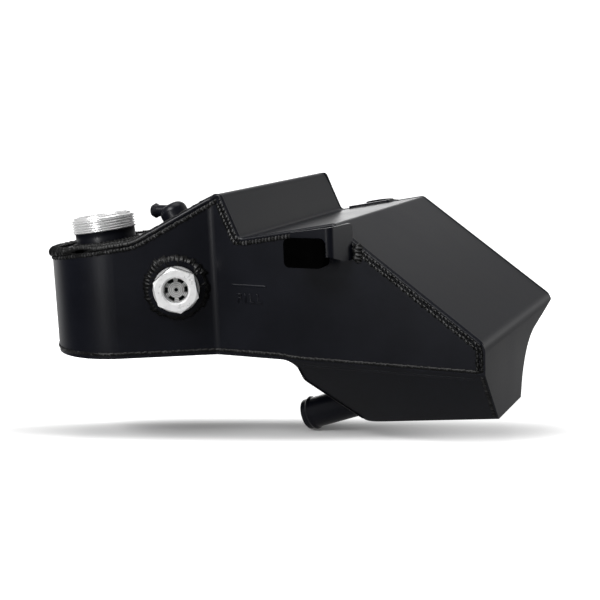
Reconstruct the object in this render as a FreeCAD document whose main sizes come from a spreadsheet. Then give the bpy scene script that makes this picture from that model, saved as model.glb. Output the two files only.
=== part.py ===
import FreeCAD, Part
import math
import os
import Sketcher

# Coolant degas bottle: a tank of folded and welded aluminium sheet with its
# filler neck, sight glass, vent, outlet and mountings. Millimetres.
# Tank datum: the foot of the front wall's vertical fold. X runs right along
# the front wall, Y away from the front, Z up. Every sub-part is then set
# down so that the bolt hole of the rear ear is at the origin.

doc = FreeCAD.newDocument("degas_bottle")
sheet = doc.addObject("Spreadsheet::Sheet", "Sizes")

sizes = {
    # tank sheet and overall form
    "gauge": 3.0,
    "wall_len": 198.0,
    "depth": 178.0,
    "fold_round": 4.0,
    "bend_round": 10.0,
    "ramp_round": 25.0,
    "end_round": 10.0,
    # side profile of the folded top sheet
    "nose_lift": 89.9,
    "nose_tilt": 7.0,
    "ramp_x": -50.0,
    "peak_x": 7.4,
    "peak_z": 117.2,
    "valley_x": 22.0,
    "valley_z": 84.4,
    "crest_x": 94.4,
    "crest_z": 96.3,
    "end_z": 19.9,
    # plan outline
    "nose_x": -85.8,
    "nose_y": 10.4,
    "nose_r": 50.0,
    "rear_x": 8.0,
    "seam_back": 21.0,
    # bottom and sump
    "rise_y": 98.0,
    "rise": 17.0,
    "sump_x": 61.3,
    "sump_knee_x": 61.5,
    "sump_knee_z": -17.3,
    "sump_toe_x": 97.3,
    "sump_toe_z": -53.6,
    "sump_end_z": -37.6,
    "keel_front_y": 43.7,
    "keel_back_y": 82.2,
    "sump_round": 7.0,
    "back_round": 48.0,
    # baffle
    "baffle_x": 38.0,
    "baffle_gauge": 2.0,
    "flow_hole_r": 11.0,
    "flow_hole_z": 22.0,
    "flow_hole_pitch": 45.0,
    "air_hole_r": 6.0,
    "air_hole_z": 70.0,
    # filler neck
    "neck_x": -93.8,
    "neck_y": 5.0,
    "neck_r": 22.0,
    "neck_thread_r": 23.4,
    "neck_collar": 10.0,
    "neck_thread": 8.6,
    "neck_lip": 2.4,
    "neck_lip_r": 21.2,
    "neck_bore_r": 17.0,
    "neck_seat_r": 19.0,
    "neck_seat_depth": 4.0,
    "weld_gap": 0.1,
    # sight glass
    "sight_along": 26.7,
    "sight_z": 50.0,
    "bung_r": 20.0,
    "bung_out": 3.5,
    "bung_in": 3.0,
    "bung_bore_r": 12.0,
    "thread_gap": 0.1,
    "seal_r": 15.0,
    "seal_thick": 1.5,
    "flange_r": 16.4,
    "flange_thick": 3.0,
    "hex_flats": 29.0,
    "hex_turn": 39.0,
    "hex_high": 5.0,
    "window_r": 8.8,
    "lip_thick": 1.6,
    "stack_r": 10.2,
    "stack_gap": 0.1,
    "gasket_thick": 0.6,
    "lens_thick": 4.0,
    "reflector_thick": 1.0,
    "reflector_hole_r": 1.3,
    "slot_mid_r": 7.0,
    "slot_wide": 1.8,
    "slot_long": 4.0,
    "slot_count": 6.0,
    "retainer_thick": 2.0,
    "retainer_bore_r": 8.2,
    # vent nipple
    "vent_x": -31.5,
    "vent_y": 8.0,
    "vent_spigot_r": 6.0,
    "vent_body_r": 10.0,
    "vent_body_high": 13.8,
    "vent_dome": 6.0,
    "vent_tube_lift": 8.9,
    "vent_tube_r": 4.2,
    "vent_tube_long": 16.9,
    "vent_bead_r": 5.4,
    "vent_bead": 5.0,
    "vent_bore_r": 2.8,
    # outlet tube
    "outlet_y": 58.5,
    "outlet_down": 19.8,
    "outlet_x": 85.5,
    "outlet_out": 46.2,
    "outlet_in": 14.0,
    "outlet_r": 11.5,
    "outlet_wall": 1.8,
    "outlet_bead_r": 12.7,
    "outlet_bead": 4.0,
    "outlet_bead_back": 3.5,
    # front arm and its boot
    "arm_root_x": 108.0,
    "arm_bend_x": 99.5,
    "arm_end_x": 70.5,
    "arm_out": 18.0,
    "arm_round": 2.5,
    "arm_low_z": 76.5,
    "arm_root_z": 69.9,
    "arm_high_z": 97.5,
    "arm_tip_z": 92.2,
    "boot_low_z": 69.3,
    "boot_high_z": 89.0,
    "boot_skin": 3.5,
    "boot_round": 4.0,
    "boot_gap": 0.2,
    # rear ear with its grommet and sleeve
    "ear_x": 49.0,
    "ear_behind": 18.0,
    "ear_lap": 6.0,
    "ear_wide": 36.0,
    "ear_past": 15.0,
    "ear_thick": 2.0,
    "ear_round": 12.0,
    "ear_droop": 8.0,
    "grommet_r": 11.5,
    "grommet_groove_r": 9.0,
    "grommet_face": 2.0,
    "grommet_gap": 0.1,
    "sleeve_r": 4.6,
    "sleeve_bore_r": 3.3,
}

for row, (alias, value) in enumerate(sizes.items(), start=1):
    sheet.set(f"A{row}", alias)
    sheet.set(f"B{row}", str(value))
    sheet.setAlias(f"B{row}", alias)
doc.recompute()


class Dim:
    """A size with its number and the expression that binds it to the sheet."""

    def __init__(self, value, text):
        self.value = value
        self.text = text

    def __add__(self, other):
        other = dim(other)
        return Dim(self.value + other.value, f"({self.text} + {other.text})")

    def __sub__(self, other):
        other = dim(other)
        return Dim(self.value - other.value, f"({self.text} - {other.text})")

    def __mul__(self, other):
        other = dim(other)
        return Dim(self.value * other.value, f"({self.text} * {other.text})")

    def __truediv__(self, other):
        other = dim(other)
        return Dim(self.value / other.value, f"({self.text} / {other.text})")

    def __neg__(self):
        return Dim(-self.value, f"(-1 * {self.text})")

    def __radd__(self, other):
        return dim(other) + self

    def __rsub__(self, other):
        return dim(other) - self

    def __rmul__(self, other):
        return dim(other) * self


def dim(value):
    return value if isinstance(value, Dim) else Dim(float(value), repr(float(value)))


def sine(angle):
    return Dim(math.sin(math.radians(angle.value)), f"sin({angle.text})")


def cosine(angle):
    return Dim(math.cos(math.radians(angle.value)), f"cos({angle.text})")


def tangent(angle):
    return Dim(math.tan(math.radians(angle.value)), f"tan({angle.text})")


def arc_tangent(ratio):
    return Dim(math.degrees(math.atan(ratio.value)), f"atan({ratio.text})")


def arc_sine(ratio):
    return Dim(math.degrees(math.asin(ratio.value)), f"asin({ratio.text})")


def root(square):
    return Dim(math.sqrt(square.value), f"sqrt({square.text})")


class Sizes:
    """Every cell of the sheet as a Dim, by its alias."""

    def __init__(self):
        for alias in sizes:
            setattr(self, alias, Dim(sheet.get(alias), f"Sizes.{alias}"))


s = Sizes()

# Slopes and places that several pieces share
flat_slope = (s.crest_z - s.valley_z) / (s.crest_x - s.valley_x)
flat_angle = arc_tangent(flat_slope)
nose_slope = tangent(s.nose_tilt)
ramp_z = s.nose_lift + nose_slope * s.ramp_x
ramp_slope = (s.peak_z - ramp_z) / (s.peak_x - s.ramp_x)
ramp_angle = arc_tangent(ramp_slope)
neck_z = s.nose_lift + nose_slope * s.neck_x
vent_z = ramp_z + ramp_slope * (s.vent_x - s.ramp_x)
nose_far = root(s.nose_x * s.nose_x + s.nose_y * s.nose_y)
wall_turn = arc_sine(s.nose_r / nose_far) + arc_tangent(s.nose_y / s.nose_x)
sight_x = -(s.sight_along * cosine(wall_turn))
sight_y = -(s.sight_along * sine(wall_turn))
ear_z = s.valley_z + flat_slope * (s.ear_x - s.valley_x)
bolt_back = s.ear_behind * cosine(s.ear_droop) + s.ear_thick / 2 * sine(s.ear_droop)
bolt_up = s.ear_thick / 2 * cosine(s.ear_droop) - s.ear_behind * sine(s.ear_droop)
bolt_x = s.ear_x - bolt_up * sine(flat_angle)
bolt_y = s.depth + bolt_back
bolt_z = ear_z + bolt_up * cosine(flat_angle)
diagonal = (s.sump_toe_z - s.sump_knee_z) / (s.sump_toe_x - s.sump_knee_x)
outlet_z = s.sump_knee_z + diagonal * (s.outlet_x - s.sump_knee_x)
reach = s.wall_len + s.depth
mouth = 3 * s.gauge


def bind(item, path, size):
    item.setExpression(path, dim(size).text)


def set_down(item, x=0, y=0, z=0, yaw=0, pitch=0, roll=0, final=True):
    # Place an item by tank coordinates; a finished sub-part is measured from the ear's bolt hole
    shift = (bolt_x, bolt_y, bolt_z) if final else (dim(0), dim(0), dim(0))
    base = "; ".join((dim(v) - o).text for v, o in zip((x, y, z), shift))
    turn = "; ".join(dim(v).text for v in (yaw, pitch, roll))
    item.setExpression("Placement", f"placement(vector({base}); rotation({turn}))")
    return item


def unit(p, q):
    length = math.hypot(q[0] - p[0], q[1] - p[1])
    return ((q[0] - p[0]) / length, (q[1] - p[1]) / length)


def touch(point, centre, radius, arriving):
    # Where a line from the point touches a circle that an outline rounds leftwards
    far = math.hypot(centre[0] - point[0], centre[1] - point[1])
    base = math.atan2(centre[1] - point[1], centre[0] - point[0])
    turn = math.asin(radius / far)
    angle = base - turn if arriving else base + turn
    run = math.sqrt(far * far - radius * radius)
    return (point[0] + run * math.cos(angle), point[1] + run * math.sin(angle))


def draw(sketch, corners):
    # Draw a closed outline, anticlockwise. A corner is (x, y), (x, y, radius)
    # or, for a round about that point, (x, y, radius, "centre").
    corners = [tuple(dim(v) for v in c[:3]) + c[3:] for c in corners]
    count = len(corners)
    spots = [(c[0].value, c[1].value) for c in corners]
    wheels = [len(c) == 4 for c in corners]
    lines = []
    for i in range(count):
        j = (i + 1) % count
        start, end = spots[i], spots[j]
        if wheels[i]:
            start = touch(end, spots[i], corners[i][2].value, False)
        if wheels[j]:
            end = touch(start, spots[j], corners[j][2].value, True)
        lines.append([start, end])
    rounds = {}
    for i in range(count):
        if len(corners[i]) == 2:
            continue
        before, after, radius = lines[i - 1], lines[i], corners[i][2].value
        ahead, leave = unit(*before), unit(*after)
        cross = ahead[0] * leave[1] - ahead[1] * leave[0]
        dot = ahead[0] * leave[0] + ahead[1] * leave[1]
        side = 1.0 if cross > 0 else -1.0
        if wheels[i]:
            hub = spots[i]
        else:
            trim = radius * math.tan(abs(math.atan2(cross, dot)) / 2)
            before[1] = (spots[i][0] - ahead[0] * trim, spots[i][1] - ahead[1] * trim)
            after[0] = (spots[i][0] + leave[0] * trim, spots[i][1] + leave[1] * trim)
            hub = (before[1][0] - ahead[1] * radius * side, before[1][1] + ahead[0] * radius * side)
        angles = [math.atan2(p[1] - hub[1], p[0] - hub[0]) for p in (before[1], after[0])]
        rounds[i] = (hub, radius, angles if side > 0 else angles[::-1], side)
    flat = [FreeCAD.Vector(p[0], p[1], 0) for line in lines for p in line]
    for i in range(count):
        sketch.addGeometry(Part.LineSegment(flat[2 * i], flat[2 * i + 1]), False)
    rules, sizes_of_rules = [], []

    def rule(constraint, size=None):
        rules.append(constraint)
        sizes_of_rules.append(size)

    def pin(item, end, x, y):
        for kind, axis, size in (("DistanceX", -2, x), ("DistanceY", -1, y)):
            if size.text == "0.0":
                rule(Sketcher.Constraint("PointOnObject", item, end, axis))
            else:
                rule(Sketcher.Constraint(kind, -1, 1, item, end, size.value), size)

    for i in range(count):
        last = (i - 1) % count
        if i not in rounds:
            rule(Sketcher.Constraint("Coincident", last, 2, i, 1))
            pin(i, 1, corners[i][0], corners[i][1])
            continue
        hub, radius, angles, side = rounds[i]
        circle = Part.Circle(FreeCAD.Vector(hub[0], hub[1], 0), FreeCAD.Vector(0, 0, 1), radius)
        arc = sketch.addGeometry(Part.ArcOfCircle(circle, *angles), False)
        first, second = (1, 2) if side > 0 else (2, 1)
        if wheels[i]:
            pin(arc, 3, corners[i][0], corners[i][1])
        else:
            spot = FreeCAD.Vector(spots[i][0], spots[i][1], 0)
            point = sketch.addGeometry(Part.Point(spot), True)
            pin(point, 1, corners[i][0], corners[i][1])
            rule(Sketcher.Constraint("PointOnObject", point, 1, last))
            rule(Sketcher.Constraint("PointOnObject", point, 1, i))
        rule(Sketcher.Constraint("Tangent", last, 2, arc, first))
        rule(Sketcher.Constraint("Tangent", arc, second, i, 1))
        rule(Sketcher.Constraint("Radius", arc, radius), corners[i][2])
    for index, size in zip(sketch.addConstraint(rules), sizes_of_rules):
        if size is not None:
            sketch.setExpression(f"Constraints[{index}]", size.text)


# A flat outline lies in one of these planes: its sketch axes and the way it is extruded
planes = {
    "side": ((0, 0, 90), FreeCAD.Vector(0, 1, 0)),
    "plan": ((0, 0, 0), FreeCAD.Vector(0, 0, 1)),
    "section": ((90, 0, 90), FreeCAD.Vector(1, 0, 0)),
}


def prism(name, plane, corners, ahead=reach, back=reach):
    turn, way = planes[plane]
    sketch = doc.addObject("Sketcher::SketchObject", name + "_outline")
    sketch.Placement = FreeCAD.Placement(FreeCAD.Vector(), FreeCAD.Rotation(*turn))
    draw(sketch, corners)
    return extrude(name, sketch, way, ahead, back)


def extrude(name, base, way, ahead, back):
    solid = doc.addObject("Part::Extrusion", name)
    solid.Base = base
    solid.DirMode = "Custom"
    solid.Dir = way
    solid.Solid = True
    bind(solid, "LengthFwd", ahead)
    bind(solid, "LengthRev", back)
    return solid


def inset(name, solid):
    # The same prism with its outline drawn in by the sheet's gauge
    line = doc.addObject("Part::Offset2D", name + "_outline")
    line.Source = solid.Base
    line.Join = "Tangent"
    bind(line, "Value", -s.gauge)
    return extrude(name, line, solid.Dir, reach, reach)


def combine(kind, name, base, tool):
    item = doc.addObject("Part::" + kind, name)
    item.Base = base
    item.Tool = tool
    return item


def chain(kind, name, base, *tools):
    for number, tool in enumerate(tools):
        last = number == len(tools) - 1
        base = combine(kind, name if last else f"{name}_{number}", base, tool)
    return base


def origin_plane(body, role):
    return next(item for item in body.Origin.OriginFeatures if item.Role == role)


def body_sketch(body, name, role, corners):
    sketch = body.newObject("Sketcher::SketchObject", name)
    sketch.AttachmentSupport = (origin_plane(body, role), [""])
    sketch.MapMode = "FlatFace"
    draw(sketch, corners)
    return sketch


def turned(name, profile):
    # A body turned about its own Z axis from a profile of (radius, height) corners
    body = doc.addObject("PartDesign::Body", name)
    sketch = body_sketch(body, name + "_profile", "XZ_Plane", profile)
    lathe = body.newObject("PartDesign::Revolution", name + "_turn")
    lathe.Profile = sketch
    lathe.ReferenceAxis = (sketch, ["V_Axis"])
    lathe.Angle = 360
    return body


def ring(name, inner, outer, low, high):
    return turned(name, [(inner, low), (outer, low), (outer, high), (inner, high)])


def drill(name, radius, low, high):
    # A plain cylinder about Z that stands for a hole
    hole = doc.addObject("Part::Cylinder", name)
    bind(hole, "Radius", radius)
    bind(hole, "Height", high - low)
    return hole


finished = []


def finish(item, label, *place, **turn):
    item.Label = label
    set_down(item, *place, **turn)
    finished.append(item)
    return item


# Envelopes of the tank. The folded top sheet and end wall come from the side
# profile, the walls from the plan outline, the pan from the bottom section
# and the sump, and each sheet is its envelope less the one drawn in by the gauge.
left_x = s.nose_x - reach / 2
side = prism("side_envelope", "side", [
    (left_x, -reach / 2),
    (s.wall_len, -reach / 2),
    (s.wall_len, s.end_z, s.end_round),
    (s.crest_x, s.crest_z, s.fold_round),
    (s.valley_x, s.valley_z, s.fold_round),
    (s.peak_x, s.peak_z, s.fold_round),
    (s.ramp_x, ramp_z, s.ramp_round),
    (left_x, s.nose_lift + nose_slope * left_x),
])
side_in = inset("side_space", side)

plan = prism("plan_envelope", "plan", [
    (0, 0, s.bend_round),
    (s.wall_len, 0),
    (s.wall_len, s.depth),
    (s.rear_x, s.depth, s.bend_round),
    (s.nose_x, s.nose_y, s.nose_r, "centre"),
])
plan_in = inset("plan_space", plan)

# Behind the sump the bottom rises to the rear wall; its line is drawn on to twice that run
rise_far_y = s.rise_y + (s.depth - s.rise_y) * 2
rise_far_z = s.rise * 2
bottom = prism("bottom_envelope", "section", [
    (-reach / 2, 0),
    (s.rise_y, 0, s.bend_round),
    (rise_far_y, rise_far_z),
    (rise_far_y, reach / 2),
    (-reach / 2, reach / 2),
])
bottom_in = inset("bottom_space", bottom)

# The sump hangs from the flat bottom on its left and, through a wide bend,
# from the rising bottom behind, and its keel runs up to the end wall
sump_far_x = s.wall_len + (s.wall_len - s.sump_toe_x)
sump_left_x = s.sump_x - s.bend_round - 2 * s.gauge
sump_side = prism("sump_side", "side", [
    (sump_left_x, 0),
    (s.sump_x, 0, s.bend_round),
    (s.sump_knee_x, s.sump_knee_z, s.sump_round),
    (s.sump_toe_x, s.sump_toe_z, s.sump_round),
    (sump_far_x, s.sump_end_z + (s.sump_end_z - s.sump_toe_z)),
    (sump_far_x, mouth),
    (sump_left_x, mouth),
])
sump_section = prism("sump_section", "section", [
    (mouth * s.keel_front_y / s.sump_toe_z, mouth),
    (s.keel_front_y, s.sump_toe_z, s.sump_round),
    (s.keel_back_y, s.sump_toe_z, s.sump_round),
    (s.rise_y, 0, s.back_round),
    (rise_far_y, rise_far_z),
    (rise_far_y, rise_far_z + mouth),
])
sump = combine("Common", "sump_envelope", sump_side, sump_section)
sump_in = combine("Common", "sump_space", inset("sump_side_space", sump_side),
                  inset("sump_section_space", sump_section))
under = combine("Fuse", "under_envelope", bottom, sump)
under_in = combine("Fuse", "under_space", bottom_in, sump_in)

# Holes that the fittings sit in
neck_hole = drill("neck_hole", s.neck_r + s.weld_gap, -mouth, mouth)
set_down(neck_hole, s.neck_x + mouth * sine(s.nose_tilt), s.neck_y,
         neck_z - mouth * cosine(s.nose_tilt), pitch=-s.nose_tilt, final=False)
vent_hole = drill("vent_hole", s.vent_spigot_r + s.weld_gap, -mouth, mouth)
set_down(vent_hole, s.vent_x + mouth * sine(ramp_angle), s.vent_y,
         vent_z - mouth * cosine(ramp_angle), pitch=-ramp_angle, final=False)
sight_hole = drill("sight_hole", s.bung_r + s.weld_gap, -mouth, mouth)
set_down(sight_hole, sight_x - mouth * sine(wall_turn), sight_y + mouth * cosine(wall_turn),
         s.sight_z, yaw=wall_turn, roll=90, final=False)
outlet_hole = drill("outlet_hole", s.outlet_r + s.weld_gap, -s.outlet_out, s.outlet_out)
set_down(outlet_hole, s.outlet_x + s.outlet_out * cosine(s.outlet_down), s.outlet_y,
         outlet_z + s.outlet_out * sine(s.outlet_down), pitch=-(90 + s.outlet_down), final=False)

# The four sheets of the tank
top = chain("Common", "top_solid", side, plan, under)
top = chain("Cut", "top_sheet", top, side_in, neck_hole, vent_hole)
finish(top, "top_sheet")

walls = combine("Cut", "wall_ring", plan, plan_in)
walls = chain("Common", "walls", walls, side_in, bottom_in)
seam_y = s.nose_y + s.seam_back
front_side = prism("front_side", "plan", [
    (-reach, -reach), (reach, -reach), (reach, seam_y), (-reach, seam_y)])
front = combine("Common", "front_blank", walls, front_side)
finish(combine("Cut", "front_wall", front, sight_hole), "front_wall")
finish(combine("Cut", "rear_wall", walls, front_side), "rear_wall")

pan = chain("Common", "pan_solid", side_in, plan, under)
pan = chain("Cut", "bottom_pan", pan, under_in, outlet_hole)
finish(pan, "bottom_pan")

# Baffle across the tank, with a row of flow holes and one for air
slab = prism("baffle_slab", "side", [
    (s.baffle_x, -reach), (s.baffle_x + s.baffle_gauge, -reach),
    (s.baffle_x + s.baffle_gauge, reach), (s.baffle_x, reach)])
baffle = chain("Common", "baffle_blank", slab, plan_in, side_in, bottom_in)
for number in (-1, 0, 1):
    hole = drill(f"flow_hole_{number + 2}", s.flow_hole_r, -mouth, mouth)
    set_down(hole, s.baffle_x - mouth, s.depth / 2 + number * s.flow_hole_pitch, s.flow_hole_z,
             pitch=90, final=False)
    baffle = combine("Cut", f"baffle_{number + 2}", baffle, hole)
hole = drill("air_hole", s.air_hole_r, -mouth, mouth)
set_down(hole, s.baffle_x - mouth, s.depth / 2, s.air_hole_z, pitch=90, final=False)
finish(combine("Cut", "baffle", baffle, hole), "baffle")

# Filler neck, square to the nose top: collar, thread land, lip and cap seat
thread_top = s.neck_collar + s.neck_thread
neck_top = thread_top + s.neck_lip
thread_edge = s.neck_thread_r - s.neck_r
neck = turned("filler_neck", [
    (s.neck_bore_r, -s.gauge),
    (s.neck_r, -s.gauge),
    (s.neck_r, s.neck_collar - thread_edge),
    (s.neck_thread_r, s.neck_collar),
    (s.neck_thread_r, thread_top),
    (s.neck_lip_r, thread_top + s.neck_lip / 2),
    (s.neck_lip_r, neck_top),
    (s.neck_seat_r, neck_top),
    (s.neck_seat_r, neck_top - s.neck_seat_depth),
    (s.neck_bore_r, neck_top - s.neck_seat_depth),
])
finish(neck, "filler_neck", s.neck_x, s.neck_y, neck_z, pitch=-s.nose_tilt)

# Sight glass, square to the front wall's left part. Heights are from the wall's outer face.
sight_place = dict(x=sight_x, y=sight_y, z=s.sight_z, yaw=wall_turn, roll=90)
bung_back = -s.gauge - s.bung_in
finish(ring("sight_bung", s.bung_bore_r, s.bung_r, bung_back, s.bung_out), "sight_bung", **sight_place)

flange_low = s.bung_out + s.seal_thick
flange_high = flange_low + s.flange_thick
hex_top = flange_high + s.hex_high
lip_low = hex_top - s.lip_thick
thread_r = s.bung_bore_r - s.thread_gap
finish(ring("sight_seal", thread_r + s.thread_gap, s.seal_r, s.bung_out, flange_low),
       "sight_seal", **sight_place)

sight = doc.addObject("PartDesign::Body", "sight_body")
corner = s.hex_flats / math.sqrt(3)
hex_turns = [s.hex_turn + 60 * k for k in range(6)]
nut = body_sketch(sight, "hex_outline", "XY_Plane", [
    (corner * cosine(turn), corner * sine(turn)) for turn in hex_turns])
nut_pad = sight.newObject("PartDesign::Pad", "hex_pad")
nut_pad.Profile = nut
bind(nut_pad, "Length", hex_top)
doc.recompute()
flange = body_sketch(sight, "flange_profile", "XZ_Plane", [
    (0, bung_back), (thread_r, bung_back), (thread_r, flange_low), (s.flange_r, flange_low),
    (s.flange_r, flange_high), (0, flange_high)])
flange_turn = sight.newObject("PartDesign::Revolution", "flange_turn")
flange_turn.Profile = flange
flange_turn.ReferenceAxis = (flange, ["V_Axis"])
flange_turn.Angle = 360
doc.recompute()
below = body_sketch(sight, "below_profile", "XZ_Plane", [
    (thread_r, -s.hex_high), (s.hex_flats, -s.hex_high),
    (s.hex_flats, flange_low), (thread_r, flange_low)])
tip_r = corner + s.lip_thick
tip = body_sketch(sight, "tip_profile", "XZ_Plane", [
    (s.hex_flats / 2, hex_top), (tip_r, hex_top - (tip_r - s.hex_flats / 2) / 2), (tip_r, hex_top)])
stack_bore_r = s.stack_r + s.stack_gap
bore_low = bung_back - s.lip_thick
bore_high = hex_top + s.lip_thick / 4
bore = body_sketch(sight, "bore_profile", "XZ_Plane", [
    (0, bore_low), (stack_bore_r, bore_low), (stack_bore_r, lip_low),
    (s.window_r, lip_low), (s.window_r + s.lip_thick, bore_high), (0, bore_high)])
for profile in (below, tip, bore):
    groove = sight.newObject("PartDesign::Groove", profile.Name + "_groove")
    groove.Profile = profile
    groove.ReferenceAxis = (profile, ["V_Axis"])
    groove.Angle = 360
    doc.recompute()
finish(sight, "sight_body", **sight_place)

gasket_low = lip_low - s.gasket_thick
lens_low = gasket_low - s.lens_thick
reflector_low = lens_low - s.reflector_thick
retainer_low = reflector_low - s.retainer_thick
finish(ring("sight_gasket", s.window_r, s.stack_r, gasket_low, lip_low), "sight_gasket", **sight_place)
lens = turned("sight_lens", [
    (0, lens_low), (s.stack_r, lens_low), (s.stack_r, gasket_low), (0, gasket_low)])
finish(lens, "sight_lens", **sight_place)
finish(ring("sight_retainer", s.retainer_bore_r, s.stack_r, retainer_low, reflector_low),
       "sight_retainer", **sight_place)

reflector = ring("sight_reflector", s.reflector_hole_r, s.stack_r, reflector_low, lens_low)
slot_low_r = s.slot_mid_r - s.slot_wide / 2
slot_high_r = s.slot_mid_r + s.slot_wide / 2
slot = body_sketch(reflector, "slot_outline", "XY_Plane", [
    (slot_low_r, -s.slot_long / 2), (slot_high_r, -s.slot_long / 2),
    (slot_high_r, s.slot_long / 2), (slot_low_r, s.slot_long / 2)])
doc.recompute()
slot_cut = reflector.newObject("PartDesign::Pocket", "slot_cut")
slot_cut.Profile = slot
slot_cut.Type = "ThroughAll"
slot_cut.Midplane = True
doc.recompute()
slots = reflector.newObject("PartDesign::PolarPattern", "slots")
slots.Originals = [slot_cut]
slots.Axis = (origin_plane(reflector, "Z_Axis"), [""])
slots.Angle = 360
bind(slots, "Occurrences", s.slot_count)
reflector.Tip = slots
finish(reflector, "sight_reflector", **sight_place)

# Vent nipple: a domed body square to the ramp, with a beaded tube towards the neck
vent_body = turned("vent_body", [
    (0, -s.gauge), (s.vent_spigot_r, -s.gauge), (s.vent_spigot_r, 0), (s.vent_body_r, 0),
    (s.vent_body_r, s.vent_body_high, s.vent_dome), (0, s.vent_body_high)])
set_down(vent_body, s.vent_x, s.vent_y, vent_z, pitch=-ramp_angle, final=False)
vent_tube = turned("vent_tube", [
    (0, 0), (s.vent_tube_r, 0), (s.vent_tube_r, s.vent_tube_long - s.vent_bead),
    (s.vent_bead_r, s.vent_tube_long - s.vent_bead / 2),
    (s.vent_tube_r, s.vent_tube_long), (0, s.vent_tube_long)])
vent_elbow_x = s.vent_x - s.vent_tube_lift * sine(ramp_angle)
vent_elbow_z = vent_z + s.vent_tube_lift * cosine(ramp_angle)
set_down(vent_tube, vent_elbow_x, s.vent_y, vent_elbow_z, pitch=-90, final=False)
vent_across = drill("vent_across", s.vent_bore_r, 0, 2 * s.vent_tube_long)
set_down(vent_across, vent_elbow_x, s.vent_y, vent_elbow_z, pitch=-90, final=False)
vent_down = drill("vent_down", s.vent_bore_r, -2 * s.gauge, s.vent_tube_lift)
set_down(vent_down, s.vent_x + 2 * s.gauge * sine(ramp_angle), s.vent_y,
         vent_z - 2 * s.gauge * cosine(ramp_angle), pitch=-ramp_angle, final=False)
vent = combine("Fuse", "vent_solid", vent_body, vent_tube)
finish(chain("Cut", "vent_nipple", vent, vent_across, vent_down), "vent_nipple")

# Outlet tube through the sump's slanted face, with a rolled bead near its end
outlet_bore_r = s.outlet_r - s.outlet_wall
bead_top = s.outlet_out - s.outlet_bead_back
outlet = turned("outlet_tube", [
    (outlet_bore_r, -s.outlet_in), (s.outlet_r, -s.outlet_in),
    (s.outlet_r, bead_top - s.outlet_bead), (s.outlet_bead_r, bead_top - s.outlet_bead / 2),
    (s.outlet_r, bead_top), (s.outlet_r, s.outlet_out), (outlet_bore_r, s.outlet_out)])
finish(outlet, "outlet_tube", s.outlet_x, s.outlet_y, outlet_z, pitch=-(90 + s.outlet_down))

# Front arm: a strip that leaves the wall at a slant and turns along it. Its top
# edge follows the flat's slope, and it is widest where it meets the wall.
arm_run = s.arm_root_x - s.arm_bend_x
arm_leg = root(arm_run * arm_run + s.arm_out * s.arm_out)
inner_root_x = s.arm_root_x - s.gauge * arm_leg / s.arm_out
arm_strip = prism("arm_strip", "plan", [
    (s.arm_end_x, -s.arm_out),
    (s.arm_bend_x, -s.arm_out, s.arm_round + s.gauge),
    (s.arm_root_x, 0),
    (inner_root_x, 0),
    (inner_root_x - (s.arm_out - s.gauge) * arm_run / s.arm_out, s.gauge - s.arm_out, s.arm_round),
    (s.arm_end_x, s.gauge - s.arm_out),
])
arm_face = prism("arm_face", "side", [
    (s.arm_end_x - s.arm_out, s.arm_low_z),
    (s.arm_bend_x, s.arm_low_z),
    (s.arm_root_x, s.arm_root_z, s.arm_round),
    (s.arm_root_x, s.arm_high_z, s.arm_round),
    (s.arm_bend_x, s.arm_high_z - flat_slope * arm_run),
    (s.arm_end_x, s.arm_tip_z),
    (s.arm_end_x - s.arm_out, s.arm_tip_z),
])
finish(combine("Common", "front_arm", arm_strip, arm_face), "front_arm")

# Rubber boot over the arm's straight end, open above, as far as the arm's bend
arm_turn = arc_tangent(s.arm_out / arm_run)
boot_x = s.arm_end_x - s.boot_skin
boot_end_x = s.arm_bend_x - (s.arm_round + s.gauge) * tangent(arm_turn / 2) - s.boot_gap
boot_outer = prism("boot_outer", "side", [
    (boot_x, s.boot_low_z, s.boot_round),
    (boot_end_x, s.boot_low_z, s.boot_round),
    (boot_end_x, s.boot_high_z, s.boot_round),
    (boot_x, s.boot_high_z, s.boot_round),
], ahead=s.gauge - s.arm_out + s.boot_skin, back=s.arm_out + s.boot_skin)
boot_slot = prism("boot_slot", "plan", [
    (s.arm_end_x - s.boot_gap, -s.arm_out - s.boot_gap),
    (boot_end_x + s.boot_skin, -s.arm_out - s.boot_gap),
    (boot_end_x + s.boot_skin, s.gauge - s.arm_out + s.boot_gap),
    (s.arm_end_x - s.boot_gap, s.gauge - s.arm_out + s.boot_gap),
], ahead=s.boot_high_z + s.gauge, back=-(s.arm_low_z - s.boot_gap))
finish(combine("Cut", "arm_boot", boot_outer, boot_slot), "arm_boot")

# Rear ear, lapped on the flat's rear edge and drooping behind it, with its rubber
# grommet and steel sleeve. Its own X is along that edge, Y back and Z off the flat.
half = s.ear_wide / 2
ear_long = s.ear_behind + s.ear_past
ear_end_y = ear_long * cosine(s.ear_droop)
ear_end_z = -(ear_long * sine(s.ear_droop))
ear_strip = prism("ear_strip", "section", [
    (-s.ear_lap, 0),
    (0, 0),
    (ear_end_y, ear_end_z),
    (ear_end_y + s.ear_thick * sine(s.ear_droop), ear_end_z + s.ear_thick * cosine(s.ear_droop)),
    (s.ear_thick * tangent(s.ear_droop / 2), s.ear_thick),
    (-s.ear_lap, s.ear_thick),
], ahead=half, back=half)
ear_face = prism("ear_face", "plan", [
    (-half, -s.ear_lap),
    (half, -s.ear_lap),
    (half, ear_end_y, s.ear_round),
    (-half, ear_end_y, s.ear_round),
])
ear_hole = drill("ear_hole", s.grommet_groove_r + s.grommet_gap, -mouth, mouth)
set_down(ear_hole, 0, bolt_back - mouth * sine(s.ear_droop), bolt_up - mouth * cosine(s.ear_droop),
         roll=-s.ear_droop, final=False)
ear_blank = combine("Common", "ear_blank", ear_strip, ear_face)
finish(combine("Cut", "rear_ear", ear_blank, ear_hole), "rear_ear",
       s.ear_x, s.depth, ear_z, pitch=-flat_angle)

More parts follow.
